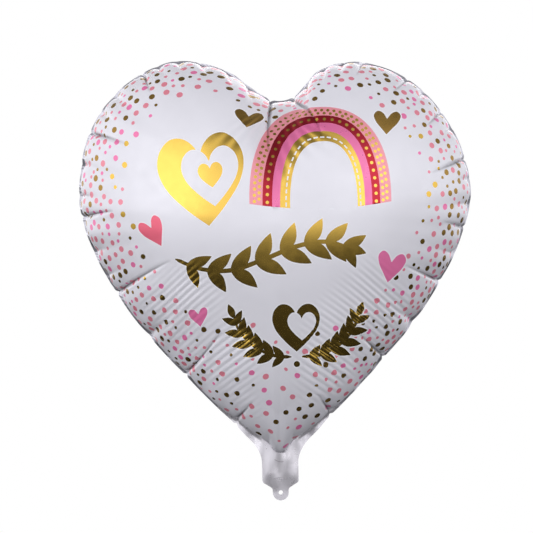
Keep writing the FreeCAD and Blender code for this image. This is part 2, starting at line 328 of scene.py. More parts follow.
def sink(angle, radius, share, scale):
    """How far the film sinks below the smooth pillow, in millimetres; a puff is negative."""
    inward = (1 - scale) * radius
    run = run_at(angle)
    total = np.zeros_like(inward)
    for at, deep, length, half, slant in PUCKERS:
        across = (gap_round(run, at) - slant * inward) * scale
        along = inward / length
        near = (np.abs(across) < 5 * half) & (along < 1)
        rise = 0.55 + 0.45 * smoothstep(0, 0.20, along[near])
        fade = (1 - along[near]) ** 1.1
        broad = np.exp(-(np.sqrt(across[near] ** 2 + 1.5) - 1.22) / half)
        if deep > DEEP:
            fold = np.exp(-np.abs(across[near]) / CREASE_HALF)
            lip = np.exp(-((np.abs(across[near]) - 3.2) / 1.5) ** 2)
            shape = 0.26 * broad + 0.42 * fold - 0.07 * lip
        else:
            shape = 0.85 * broad
        total[near] += deep * rise * fade * shape
    out = (1 - share) * radius / PUFF_REACH
    puff = PUFF * out * np.exp(1 - out) * pucker_share(run)
    puff *= smoothstep(0, 70, np.abs(run - NECK_RUN))
    return total - puff


RIPPLE_WAVE = 5.6
SIDE_RIPPLE, NOTCH_RIPPLE = 0.62, 0.38  # heights of the ripples
SIDE_DIRECTION = np.array([0.622, 0.783])  # along the right lower side, upwards


def ripples(x, z, scale, radius):
    """Fine parallel ripples across the lower sides and below the notch."""
    inward = (1 - scale) * radius
    total = np.zeros_like(x)
    for side in (-1, 1):
        along = side * x * SIDE_DIRECTION[0] + z * SIDE_DIRECTION[1]
        out = side * x * SIDE_DIRECTION[1] - z * SIDE_DIRECTION[0]
        warp = 1.3 * np.sin(along / 23 + side) + 1.0 * np.sin(out / 19 + along / 31)
        phase = TAU * (along + warp) / RIPPLE_WAVE
        window = (smoothstep(-165, -140, along) * smoothstep(42, 4, along)
                  * smoothstep(4, 18, inward) * smoothstep(84, 50, inward)
                  * smoothstep(8, 30, side * x))
        patches = 0.60 + 0.40 * np.sin(along / 13 + 2 * side) * np.cos(out / 25 + side)
        total += SIDE_RIPPLE * window * patches * (np.sin(phase) + 0.35 * np.sin(2 * phase + 1))
    notch_z = float(RIM[0, 1])
    reach = np.hypot(x, z - notch_z)
    fan = np.arctan2(x, notch_z - z)
    window = (smoothstep(10, 26, reach) * smoothstep(88, 45, reach)
              * smoothstep(1.25, 0.8, np.abs(fan)))
    total += NOTCH_RIPPLE * window * np.sin(
        fan * 30 + 1.3 * np.sin(reach / 19) + 0.6 * np.sin(fan * 7))
    return total


def seam_wave(run):
    """Fore and aft wander of the seam, the same for both films."""
    k = TAU / RIM_LENGTH
    wave = (1.3 * np.sin(13 * k * run + 0.7) + 1.0 * np.sin(29 * k * run + 2.1)
            + 0.8 * np.sin(47 * k * run))
    near_neck = smoothstep(22, 60, np.abs(run - NECK_RUN))
    return wave * near_neck


def tail_wave(x, z):
    """The limp tail's fore and aft shape: a shallow tube with fine folds, flat at the tab."""
    loose = smoothstep(-1, 20, z) * smoothstep(NECK_HIGH, NECK_LOW, z)
    tube = -2.6 * np.clip(1 - (x / TAIL_HALF) ** 2, 0, 1) + 1.5 * np.exp(-(x / 4.0) ** 2)
    folds = 0.45 * np.sin(x / 3.6 + z / 12) + 0.30 * np.sin(x / 2.2 - z / 8)
    return loose * (tube + folds)


def sway(x, z):
    """Sideways set of the filled balloon: top leaning left, left shoulder full, notch right."""
    lean = -0.035 * np.maximum(z - 290, 0) * (1 - 1.3 * smoothstep(50, 140, x))
    shoulder = -3.2 * np.exp(-((z - 352) / 30) ** 2) * smoothstep(-70, -150, x)
    notch = 10.0 * np.exp(-(x / 44) ** 2) * smoothstep(330, 390, z)
    return lean + shoulder + notch


def lift(x, z):
    """Upward set of the filled balloon: the left lobe is a little higher than the right."""
    return -0.024 * x * smoothstep(290, 400, z)


def seal_pull(run):
    """Share of the front film's seal that is drawn in; more on the left, between puckers."""
    left = smoothstep(0.73, 0.80, run / RIM_LENGTH)
    return 0.12 + 0.58 * left * pucker_share(run)


def inflate(flat, side):
    """Points of the film in millimetres, origin at the ribbon hole."""
    angle, radius, share = polar(flat)
    x, z, depth, scale = projected(flat)
    run = run_at(angle)
    out_x, out_z = at_rim(angle, RIM_OUT[:, 0]), at_rim(angle, RIM_OUT[:, 1])
    inward = (1 - scale) * radius
    lean_in = scale / radius
    lean_y = (depth / HALF_DEPTH) / HALF_DEPTH
    length = np.hypot(lean_in, lean_y)
    lean_in, lean_y = lean_in / length, lean_y / length
    down = sink(angle, radius, np.minimum(share, 1), scale) - ripples(x, z, scale, radius)
    outside = share > 1
    height = np.where(outside, flat[:, 1], z) + CROWN
    neck = smoothstep(NECK_HIGH, NECK_LOW, height)
    down *= 1 - neck
    x = x - down * lean_in * out_x
    z = z - down * lean_in * out_z
    y = side * (depth - down * lean_y) + seam_wave(run) * np.exp(-inward / 18)
    beyond = np.clip((share - 1) * radius, 0, SEAL)
    drawn_in = seal_pull(run) * beyond * (1 - neck) if side == FRONT else 0
    flap_phase = TAU * run / (1.15 * PUCKER_PITCH) + 1.5 * np.sin(TAU * 5 * run / RIM_LENGTH)
    over_valve = smoothstep(28, 15, np.abs(flat[:, 0])) * smoothstep(90, 80, height)
    flap = beyond * (0.35 * np.sin(flap_phase) + 0.75) * (1 - neck) * (1 - over_valve)
    shift = down * (1 - neck) + drawn_in
    x = np.where(outside, flat[:, 0] - shift * out_x, x)
    z = np.where(outside, flat[:, 1] - shift * out_z, z)
    ply = side * (0.06 + 0.45 * smoothstep(84, 60, height))
    y = np.where(outside, seam_wave(run) + flap + ply, y)
    world_z = z + CROWN
    y = y + tail_wave(x, world_z)
    return np.column_stack([x + sway(x, world_z), y, world_z + lift(x, world_z)])


# ---------- the printed artwork

# Everything printed is placed in millimetres on the face as the viewer sees it: x to the
# right of the heart's centre line, z above the ribbon hole.
CAMERA_DISTANCE = 2300.0
CAMERA_X, CAMERA_Z = -9.6, 219.0
CAMERA_ROLL = 1.1  # degrees
PICTURE_WIDTH = 516.21  # how much the picture shows at the plane of the seam
KNOCKOUT = 1.1  # white border left round each gold shape and heart


def from_view(points):
    """Plan points of artwork given as seen from the front, allowing for perspective."""
    p = np.array(points, float)
    x, z = p[:, 0] - sway(p[:, 0], p[:, 1]), p[:, 1] - lift(p[:, 0], p[:, 1])
    flat = to_plan(x, z - CROWN)
    for _ in range(2):
        depth = projected(flat)[2]
        nearer = (CAMERA_DISTANCE - depth) / CAMERA_DISTANCE
        flat = to_plan(CAMERA_X + (x - CAMERA_X) * nearer,
                       CAMERA_Z + (z - CAMERA_Z) * nearer - CROWN)
    return flat


# Left halves of two hearts of width and height 1, from the tip to the notch.
SLENDER_HALF = [(0.0, -0.52), (-0.20, -0.26), (-0.42, 0.04), (-0.50, 0.32), (-0.36, 0.50),
                (-0.16, 0.42), (0.0, 0.17)]
FULL_HALF = [(0.0, -0.50), (-0.22, -0.31), (-0.42, -0.08), (-0.50, 0.14), (-0.46, 0.33),
             (-0.33, 0.45), (-0.18, 0.45), (-0.06, 0.36), (0.0, 0.24)]


def heart_shape(x, z, width, height, tilt, half):
    """A printed heart: closed outline centred on x, z, from the left half of its shape."""
    left = smooth_open(half, 5)
    whole = np.vstack([left, left[::-1][1:-1] * [-1, 1]]) * [width, height]
    c, s = math.cos(math.radians(tilt)), math.sin(math.radians(tilt))
    return np.column_stack([x + c * whole[:, 0] - s * whole[:, 1],
                            z + s * whole[:, 0] + c * whole[:, 1]])


def full_heart(x, z, width, height, tilt):
    """A plump heart with round lobes."""
    return heart_shape(x, z, width, height, tilt, FULL_HALF)


def foot_height(x):
    """Height of the rainbow's foot line, which hangs in a shallow bow."""
    return 274.0 + 5.6 * ((x - 44) / 67) ** 2


def arch(left, right, top, points=48):
    """Half of a rounded arch from its left foot over to its right foot."""
    t = np.linspace(0, math.pi, points)
    power = 2 / 2.45
    cx, half = (left + right) / 2, (right - left) / 2
    x = cx - half * np.sign(np.cos(t)) * np.abs(np.cos(t)) ** power
    foot = foot_height(x)
    return np.column_stack([x, foot + (top - foot) * np.sin(t) ** power])


def legged(curve, steps=12):
    """Closes an arch with its bowed foot line."""
    x = np.linspace(curve[-1, 0], curve[0, 0], steps)[1:-1]
    return np.vstack([curve, np.column_stack([x, foot_height(x)])])


RAINBOW = [  # left foot, right foot, top: outside of each band, then the inside
    (-25.0, 112.6, 372.6),
    (-12.3, 101.9, 364.4),
    (-3.0, 94.2, 357.4),
    (4.8, 87.1, 349.2),
    (14.4, 80.0, 339.3),
]
BAND_PRINTS = ["blush", "wine", "rose", "gold", "pearl"]


def along_arch(arches, band, share, pitch, start):
    """Points and directions every pitch millimetres, a share of the way across a band."""
    curve = arches[band] + (arches[band + 1] - arches[band]) * share
    step = np.linalg.norm(np.diff(curve, axis=0), axis=1)
    run = np.concatenate([[0], np.cumsum(step)])
    at = np.arange(start * pitch, run[-1], pitch)
    x, z = np.interp(at, run, curve[:, 0]), np.interp(at, run, curve[:, 1])
    ahead = np.column_stack([np.interp(at + 0.5, run, curve[:, 0]) - x,
                             np.interp(at + 0.5, run, curve[:, 1]) - z])
    length = np.maximum(np.linalg.norm(ahead, axis=1), 1e-9)
    return np.column_stack([x, z]), ahead / length[:, None]


def stroke(points, thin, thick, nib, taper):
    """A broad-nib brush stroke along a curve: wide where it runs along the nib's angle.

    taper is how far from its start and its end the stroke narrows.
    """
    line = smooth_open(points)
    keep = np.concatenate([[True], np.linalg.norm(np.diff(line, axis=0), axis=1) > 1e-6])
    line = line[keep]
    ahead = np.gradient(line, axis=0)
    ahead /= np.linalg.norm(ahead, axis=1)[:, None]
    angle = np.arctan2(ahead[:, 1], ahead[:, 0]) - math.radians(nib)
    width = thin + (thick - thin) * np.abs(np.cos(angle)) ** 2.2
    step = np.concatenate([[0], np.cumsum(np.linalg.norm(np.diff(line, axis=0), axis=1))])
    width = np.convolve(np.pad(width, 3, mode="edge"), np.ones(7) / 7, mode="valid")
    width = width * np.clip(0.25 + step / taper[0], 0, 1) * np.clip(
        0.25 + (step[-1] - step) / taper[1], 0, 1)
    side = np.column_stack([-ahead[:, 1], ahead[:, 0]]) * width[:, None] / 2
    return np.vstack([line + side, (line - side)[::-1]])


def leaf(base, tip, width, bow=0.0, points=20):
    """A solid leaf from base to tip, bowed sideways by a share of its length."""
    base, along = np.array(base, float), np.subtract(tip, base).astype(float)
    length = np.linalg.norm(along)
    side = np.array([-along[1], along[0]]) / length
    t = np.linspace(0, 1, points)[:, None]
    half = width / 2 * np.sin(math.pi * t ** 0.85) ** 0.9
    middle = base + along * t + side * bow * length * np.sin(math.pi * t)
    return np.vstack([middle + side * half, (middle - side * half)[::-1][1:-1]])


def open_heart(x, z, width, height, tilt, inner):
    """A heart drawn as a brushed line, thick on its left and thin on its right, in layers."""
    shift = 0.30 * (1 - inner) * width
    c, s = math.cos(math.radians(tilt)), math.sin(math.radians(tilt))
    rise = 0.02 * height
    hollow = (x + c * shift - s * rise, z + s * shift + c * rise, inner * width,
              inner * height * 0.98, tilt)
    outer = full_heart(x, z, width, height, tilt)
    hole = full_heart(*hollow)
    return [("chalk", grown(outer, KNOCKOUT)), ("gold", outer), ("chalk", hole),
            ("pearl", grown(hole, -KNOCKOUT))]


def solid(*outlines):
    """Gold shapes with their white borders underneath."""
    return [("chalk", grown(p, KNOCKOUT)) for p in outlines] + [("gold", p) for p in outlines]


def branch(points, widths, leaf_length, leaf_width, every):
    """A leafy branch along a curve: closed outlines of its stem and of paired leaves."""
    shapes = [stroke(points, widths[0], widths[1], 20, (6, 6))]
    line = smooth_open(points, 4)
    picks = range(2, len(line) - 1, every)
    for order, k in enumerate(picks):
        ahead = line[min(k + 1, len(line) - 1)] - line[k - 1]
        ahead /= np.linalg.norm(ahead)
        size = 0.72 + 0.28 * math.sin(math.pi * (order + 0.5) / len(picks))
        for side in (-1, 1):
            spread = side * np.array([-ahead[1], ahead[0]])
            reach = leaf_length * size * (0.80 * ahead + 0.72 * spread)
            shapes.append(leaf(line[k], line[k] + reach, leaf_width * size, -0.06 * side))
    shapes.append(leaf(line[-2], line[-2] + leaf_length * 0.8 * ahead, leaf_width * 0.8))
    return shapes


def gold_ornament():
    """The gold print, in layers: a heart in a heart, a leafy branch, and a heart in laurel."""
    layers = open_heart(-70, 305, 84, 92, 7, 0.66)
    layers += solid(full_heart(-62, 309, 24, 25, 7))
    layers += solid(*branch([(-98, 228), (-74, 218), (-44, 216), (-12, 226), (20, 238),
                             (48, 242), (70, 236)], (2.8, 4.6), 30, 13.5, 3))
    layers += open_heart(18, 160, 46, 48, 0, 0.60)
    for turn in (-1, 1):
        stem = [(18 + turn * a, 131 + b) for a, b in
                [(5, 0), (19, 1), (33, 6), (46, 15), (56, 28), (61, 42)]]
        layers += solid(*branch(stem, (2.4, 3.8), 18.5, 8.6, 3))
    turn = np.linspace(0, TAU, 16, endpoint=False)
    layers += solid(np.column_stack([18 + 3 * np.cos(turn), 124 + 3 * np.sin(turn)]))
    return layers


HEARTS = [  # x, z, width, height, tilt and print
    (-24.0, 362.0, 29.0, 15.5, -14, "bronze"),
    (109.8, 356.0, 26.0, 22.0, -4, "bronze"),
    (-118.0, 254.0, 23.0, 29.0, 28, "coral"),
    (-76.0, 171.0, 18.5, 17.5, 9, "magenta"),
    (110.5, 216.0, 27.0, 29.0, -12, "magenta"),
]
DOT_PRINTS = ["bronze", "salmon", "magenta", "salmon", "bronze", "salmon"]


def local_stretch(flat):
    """Film length per unit of plan, along and across the radius from the crown."""
    angle, radius, share = polar(flat)
    tilt = share * math.pi / 2
    scale = np.sin(tilt)
    rim_z = radius * np.cos(angle)
    slim = slimming(rim_z, scale) + scale * (slimming(rim_z, 1) - slimming(rim_z, 0))
    spread = np.hypot(np.sin(angle), slim * np.cos(angle))
    along = math.pi / 2 * np.hypot(spread * np.cos(tilt), HALF_DEPTH / radius * np.sin(tilt))
    return along, scale / np.maximum(share, 1e-6)


def round_dot(centre, size, points):
    """A dot that is round on the film, as plan points."""
    along, across = local_stretch(centre[None, :])
    t = np.linspace(0, TAU, points, endpoint=False)
    out = centre / max(np.linalg.norm(centre), 1e-6)
    side = np.array([out[1], -out[0]])
    return (centre + np.outer(np.cos(t) * size / 2 / along[0], out)
            + np.outer(np.sin(t) * size / 2 / across[0], side))


# ---------- polygons and dots


def winding(points, polygon):
    """Winding number of a closed polygon round each point."""
    count = np.zeros(len(points), int)
    x, z = points[:, 0], points[:, 1]
    following = np.roll(polygon, -1, axis=0)
    for (x1, z1), (x2, z2) in zip(polygon, following):
        left = (x2 - x1) * (z - z1) - (x - x1) * (z2 - z1)
        count += ((z1 <= z) & (z2 > z) & (left > 0)).astype(int)
        count -= ((z1 > z) & (z2 <= z) & (left < 0)).astype(int)
    return count


def within(points, polygon, margin=0.0):
    """Which points are inside a polygon."""
    low, high = polygon.min(axis=0) - margin, polygon.max(axis=0) + margin
    near = np.where(np.all((points > low) & (points < high), axis=1))[0]
    result = np.zeros(len(points), bool)
    if len(near):
        result[near] = winding(points[near], polygon) != 0
    return result


def grown(outline, margin):
    """A closed outline moved outwards by a margin."""
    tangent = np.roll(outline, -1, axis=0) - np.roll(outline, 1, axis=0)
    length = np.maximum(np.linalg.norm(tangent, axis=1), 1e-9)
    normal = np.column_stack([tangent[:, 1], -tangent[:, 0]]) / length[:, None]
    following = np.roll(outline, -1, axis=0)
    area = (outline[:, 0] * following[:, 1] - following[:, 0] * outline[:, 1]).sum()
    return outline + normal * margin * (1 if area > 0 else -1)


# Rows of gold dots on the arch: band, share of its width, pitch and where the row starts.
DOT_ROWS = [(0, 0.38, 6.0, 0.5), (0, 0.74, 6.0, 1.0), (1, 0.5, 7.5, 0.5)]
ROW_DOT = 3.2  # size of a dot in these rows
DASH_ROW = (3, 0.6, 6.4, 0.5)  # the same for the row of dashes
DASH_LENGTH, DASH_WIDTH = 4.0, 1.4


def artwork():
    """Printed shapes as (print, plan polygon), lowest layer first, and the confetti dots."""
    layers = []
    arches = [arch(*feet) for feet in RAINBOW]
    for curve, name in zip(arches, BAND_PRINTS):
        layers.append((name, from_view(legged(curve))))
    layers += [(name, from_view(outline)) for name, outline in gold_ornament()]
    for x, z, width, height, tilt, name in HEARTS:
        heart = heart_shape(x, z, width, height, tilt, SLENDER_HALF)
        layers.append(("chalk", from_view(grown(heart, KNOCKOUT))))
        layers.append((name, from_view(heart)))
    small = []
    for row in DOT_ROWS:
        centres, _ = along_arch(arches, *row)
        small += [("gold", round_dot(from_view([c])[0], ROW_DOT, 12)) for c in centres]
    for c, ahead in zip(*along_arch(arches, *DASH_ROW)):
        a = ahead * DASH_LENGTH / 2
        side = np.array([-ahead[1], ahead[0]]) * DASH_WIDTH / 2
        small.append(("chalk", from_view([c - a - side, c + a - side, c + a + side, c - a + side])))
    return layers, small, confetti([p for _, p in layers])


def band_width(angle):
    """Width of the confetti band at an angle from the notch, as seen from the front."""
    a = np.degrees(np.abs((angle + math.pi) % TAU - math.pi))
    return np.interp(a, [0, 12, 40, 90, 125, 150, 162, 172, 180],
                     [18, 26, 36, 46, 38, 40, 54, 78, 84])


def confetti(blocked):
    """Seeded dots in a band along the rim, thinning out inwards: (print, plan polygon)."""
    rng = random.Random(23)
    tries = 9000
    angles = np.array([rng.uniform(0, TAU) for _ in range(tries)])
    depth = np.array([rng.random() ** 1.15 for _ in range(tries)])
    pick = [rng.random() for _ in range(tries)]
    tone = [rng.randrange(len(DOT_PRINTS)) for _ in range(tries)]
    radius = at_rim(angles, RIM_RADIUS)
    inward = 1.0 + depth * band_width(angles)
    scale = 1 - inward / radius
    share = np.arcsin(np.clip(scale, 0, 1)) * 2 / math.pi
    spots = np.column_stack([np.sin(angles), np.cos(angles)]) * (share * radius)[:, None]
    free = np.ones(tries, bool)
    for polygon in blocked:
        centre = polygon.mean(axis=0)
        free &= ~within(spots, centre + (polygon - centre) * 1.06)
    cell_size, grid, found = 14, {}, []
    near = list(itertools.product((-1, 0, 1), repeat=3))
    for i in np.where(free)[0]:
        big = pick[i] > 0.24
        size = (5.0 + 1.3 * pick[i]) if big else (3.3 + 2.4 * pick[i])
        p = np.array([value[0] for value in projected(spots[i][None, :])[:3]])
        reach = 3.8 if big else 2.7
        reach *= 1 + 0.75 * depth[i] ** 2
        reach *= 1 + 0.5 * float(smoothstep(150, 168, 180 - abs(math.degrees(angles[i]) - 180)))
        cell = (p // cell_size).astype(int)
        neighbours = (n for step in near for n in grid.get(tuple(cell + step), ()))
        if any(np.linalg.norm(p - other) < reach + far for other, far in neighbours):
            continue
        grid.setdefault(tuple(cell), []).append((p, reach))
        name = DOT_PRINTS[tone[i]]
        if name == "bronze" and depth[i] > 0.6 and abs(math.sin(angles[i])) > 0.8:
            name = "gold"
        found.append((name, round_dot(spots[i], size, 11 if big else 8)))
    return found


# ---------- the film meshes

FINE_PITCH = 1.25  # spacing of plan points where the film is puckered
PRINTS = ["pearl", "silver", "tail", "gold", "bronze", "blush", "wine", "rose", "coral",
          "magenta", "salmon", "chalk", "mark"]
TAIL_TOP = 84.0  # the seal below this is the tail's thin film
NOZZLE_MARK = [(-5.8, 32.4), (-2.6, 30.5), (0.8, 29.7), (3.9, 30.3)]


def linked(name, data):
    """A new object in the scene."""
    obj = bpy.data.objects.new(name, data)
    bpy.context.scene.collection.objects.link(obj)
    return obj


def film_boundary():
    """Outer edge of the film in the plan: heart, flare into the neck, tail and tab."""
    z = EDGE[:, 1] + CROWN
    low = np.where(z < NECK_TOP)[0]
    right, left = EDGE[:low[0]], EDGE[low[-1] + 1:]
    start = right[-1]
    bend = np.array([TAIL_HALF, 41.5 - CROWN])
    end = np.array([TAIL_HALF, 29.0 - CROWN])
    t = np.linspace(0, 1, 16)[1:, None]
    flare = (1 - t) ** 2 * start + 2 * t * (1 - t) * bend + t ** 2 * end
    side = [(TAIL_HALF, 20), (TAIL_HALF, TAIL_SHOULDER + 2),
            (TAIL_HALF - 0.5, TAIL_SHOULDER + 0.6), (TAIL_HALF - 1.8, TAIL_SHOULDER - 0.5),
            (13.0, 7.4), (TAB_RADIUS + 1.6, TAB_SHOULDER + 1.0),
            (TAB_RADIUS + 0.3, TAB_SHOULDER - 0.3), (TAB_RADIUS, TAB_SHOULDER - 2.0)]
    arc = [(TAB_RADIUS * math.cos(a), -TAB_RADIUS * math.sin(a))
           for a in np.linspace(0, math.pi / 2, 14)]
    lower = np.array(side + arc) - [0, CROWN]
    half = np.vstack([flare, lower])
    mirrored = half[::-1][1:] * [-1, 1]
    return np.vstack([right, half, mirrored, left])


def densified(polygon, pitch):
    """Points along a closed polygon no further apart than pitch."""
    out = []
    for a, b in zip(polygon, np.roll(polygon, -1, axis=0)):
        n = max(1, int(math.ceil(np.linalg.norm(b - a) / pitch)))
        out.append(a + (b - a) * np.linspace(0, 1, n, endpoint=False)[:, None])
    return np.concatenate(out)


def lattice(boundary):
    """Plan points for the film's surface: a quarter of them where it is smooth."""
    low, high = boundary.min(axis=0), boundary.max(axis=0)
    rows = np.arange(low[1], high[1], FINE_PITCH * math.sqrt(3) / 2)
    columns = np.arange(low[0], high[0], FINE_PITCH)
    points, coarse = [], []
    for j, z in enumerate(rows):
        across = columns + (j % 2) * FINE_PITCH / 2
        points.append(np.column_stack([across, np.full(len(columns), z)]))
        shift = (j // 2) % 2
        coarse.append((np.arange(len(columns)) % 2 == shift) & (j % 2 == 0))
    points, coarse = np.concatenate(points), np.concatenate(coarse)
    radius = polar(points)[1]
    x, z, _, scale = projected(points)
    inward = (1 - scale) * radius
    fine = inward < 34
    fine |= (inward < 88) & (z < 35) & (np.abs(x) > 4)
    fine |= (np.hypot(x, z - RIM[0, 1]) < 95) & (z > 20)
    return points[(fine | coarse) & within(points, boundary)]


def crease_lines():
    """Plan lines along the bottom and sides of each deep pucker, so that its fold is crisp."""
    lines = []
    for at, deep, length, _, slant in PUCKERS:
        if deep <= DEEP:
            continue
        inward = np.arange(0.8, length * 0.97, 1.3)
        for offset in (-2.6, -1.0, 0.0, 1.0, 2.6):
            run = np.full(len(inward), at)
            for _ in range(6):
                angle = np.interp(np.mod(run, RIM_LENGTH), np.append(RIM_RUN, RIM_LENGTH),
                                  np.append(RIM_ANGLE, RIM_ANGLE[0] + TAU))
                radius = at_rim(angle, RIM_RADIUS)
                scale = np.clip(1 - inward / radius, 0.02, 1)
                run = at + slant * inward + offset / scale
            share = np.arcsin(scale) * 2 / math.pi
            lines.append(np.column_stack([np.sin(angle), np.cos(angle)])
                         * (share * radius)[:, None])
    return lines


def hole_loop():
    """The ribbon hole in the plan."""
    turn = np.linspace(0, TAU, 28, endpoint=False)
    hole = np.column_stack([HOLE_RADIUS * np.cos(turn), HOLE_RADIUS * np.sin(turn)])
    return hole - [0, CROWN]


def mouth_loop():
    """The slit in the front film where the filling nozzle goes in, bowed upwards."""
    turn = np.linspace(0, TAU, 30, endpoint=False)
    height = MOUTH_GAP / 2 * np.sin(turn) + MOUTH_BOW * (1 - np.cos(turn) ** 2)
    return np.column_stack([MOUTH_WIDTH / 2 * np.cos(turn),
                            MOUTH_BOTTOM + MOUTH_GAP / 2 + height - CROWN])


def triangulated(loops, lines, boundary):
    """Plan points and triangles, all turned the same way, with edges along loops and lines."""
    edge_points = np.concatenate([densified(p, 0.8) for p in loops] + lines)
    tree = kdtree.KDTree(len(edge_points))
    for i, p in enumerate(edge_points):
        tree.insert((p[0], p[1], 0), i)
    tree.balance()
    inner = [p for p in lattice(boundary) if tree.find((p[0], p[1], 0))[2] > 0.55]
    vertices, edges = [], []
    for closed, group in ((True, loops), (False, lines)):
        for p in group:
            first, count = len(vertices), len(p)
            vertices += [Vector(v) for v in p.tolist()]
            edges += [(first + i, first + (i + 1) % count)
                      for i in range(count if closed else count - 1)]
    vertices += [Vector(v.tolist()) for v in inner]
    plan, _, faces, *_ = delaunay_2d_cdt(vertices, edges, [], 0, 1e-5, False)
    plan, faces = np.array([(v.x, v.y) for v in plan]), np.array(faces)
    a, b, c = (plan[faces[:, k]] for k in range(3))
    area = (b[:, 0] - a[:, 0]) * (c[:, 1] - a[:, 1]) - (c[:, 0] - a[:, 0]) * (b[:, 1] - a[:, 1])
    faces[area < 0] = faces[area < 0][:, ::-1]
    return plan, faces, np.abs(area) > 1e-7


def painted(middle, shapes, mark, side):
    """Index of the print on each triangle, from the triangles' middles."""
    print_index = np.zeros(len(middle), int)
    order = np.argsort(middle[:, 0])
    sorted_x = middle[order, 0]
    for print_name, polygon in shapes:
        low, high = np.searchsorted(sorted_x, [polygon[:, 0].min(), polygon[:, 0].max()])
        near = order[low:high]
        hit = near[within(middle[near], polygon, 1e-6)]
        print_index[hit] = PRINTS.index(print_name)
    outside = polar(middle)[2] > 1
    print_index[outside] = PRINTS.index("pearl" if side == FRONT else "silver")
    print_index[outside & (middle[:, 1] + CROWN < TAIL_TOP)] = PRINTS.index("tail")
    print_index[within(middle, mark)] = PRINTS.index("mark")
    return print_index


def film_mesh(name, side):
    """One printed film as a mesh object, with a material slot for each print."""
    mirror = np.array([1 if side == FRONT else -1, 1])
    boundary = film_boundary()
    openings = [hole_loop()] + ([mouth_loop()] if side == FRONT else [])
    layers, small, dots = ARTWORK
    shapes = [(n, p * mirror) for n, p in dots + layers + small]
    mark = (stroke(NOZZLE_MARK, 0.5, 0.7, 0, (2, 2)) - [0, CROWN]) * mirror
    loops = [boundary, RIM] + openings + [p for _, p in shapes] + [mark]
    plan, faces, keep = triangulated(loops, crease_lines(), boundary)
    middle = plan[faces].sum(axis=1) / 3
    keep &= within(middle, boundary)
    for opening in openings:
        keep &= ~within(middle, opening)
    faces = faces[keep]
    print_index = painted(middle[keep], shapes, mark, side)
    used, faces = np.unique(faces, return_inverse=True)
    faces = faces.reshape(-1, 3)
    plan = plan[used]
    points = inflate(plan, side) * MM
    if side == BACK:
        faces = faces[:, ::-1]
    mesh = bpy.data.meshes.new(name)
    mesh.from_pydata(points.tolist(), [], faces.tolist())
    for print_name in PRINTS:
        mesh.materials.append(MATERIALS[print_name])
    mesh.polygons.foreach_set("material_index", print_index.astype(np.int32))
    mesh.polygons.foreach_set("use_smooth", np.ones(len(faces), bool))
    on_rim = np.abs(polar(plan)[2] - 1) < 1e-4
    pairs = np.empty(len(mesh.edges) * 2, int)
    mesh.edges.foreach_get("vertices", pairs)
    # The fold attribute holds painted shade: how far the materials darken the film's colour.
    painted_shade_layer = mesh.attributes.new("fold", "FLOAT", "POINT")
    painted_shade_layer.data.foreach_set("value", painted_shade_amount(plan).astype(np.float32))
    sharp = mesh.attributes.new("sharp_edge", "BOOLEAN", "EDGE")
    sharp.data.foreach_set("value", on_rim[pairs.reshape(-1, 2)].all(axis=1))
    mesh.update()
    return linked(name, mesh)


def valve_mesh(name, side):
    """One valve film: a thin limp strip from the mouth up into the balloon."""
    rows, columns = 90, 28
    grid = []
    for j in range(rows + 1):
        z = MOUTH_BOTTOM + (VALVE_TOP - MOUTH_BOTTOM) * j / rows
        for i in range(columns + 1):
            x = VALVE_HALF * (2 * i / columns - 1)
            seal = 1 - (abs(x) / VALVE_HALF) ** 4
            parted = 0.9 * seal * float(smoothstep(FOLD + 6, FOLD + 40, z))
            limp = float(smoothstep(FOLD + 10, FOLD + 50, z)) * 2.2 * math.sin(z / 17 + x / 19)
            wave = float(tail_wave(x, z))
            grid.append((x * MM, (side * (0.1 + parted) + wave + limp) * MM, z * MM))
    faces = []
    for j in range(rows):
        for i in range(columns):
            a = j * (columns + 1) + i
            faces.append((a, a + 1, a + columns + 2, a + columns + 1))
    mesh = bpy.data.meshes.new(name)
    mesh.from_pydata(grid, [], faces)
    mesh.polygons.foreach_set("use_smooth", [True] * len(faces))
    mesh.materials.append(MATERIALS["valve"])
    return linked(name, mesh)


# ---------- materials


def map_range(nodes, links, source, from_min, from_max, to_min, to_max):
    """The output of a new Map Range node on a socket."""
    node = nodes.new("ShaderNodeMapRange")
    for socket, value in (("From Min", from_min), ("From Max", from_max),
                          ("To Min", to_min), ("To Max", to_max)):
        node.inputs[socket].default_value = value
    links.new(source, node.inputs["Value"])
    return node.outputs["Result"]


COAT_ROUGHNESS = 0.14
PAINTED_SHADE_TONE = 0.10  # share of its colour that the film keeps under full painted shade, as in a sharp fold
BUMP_DISTANCE = 0.002  # metres


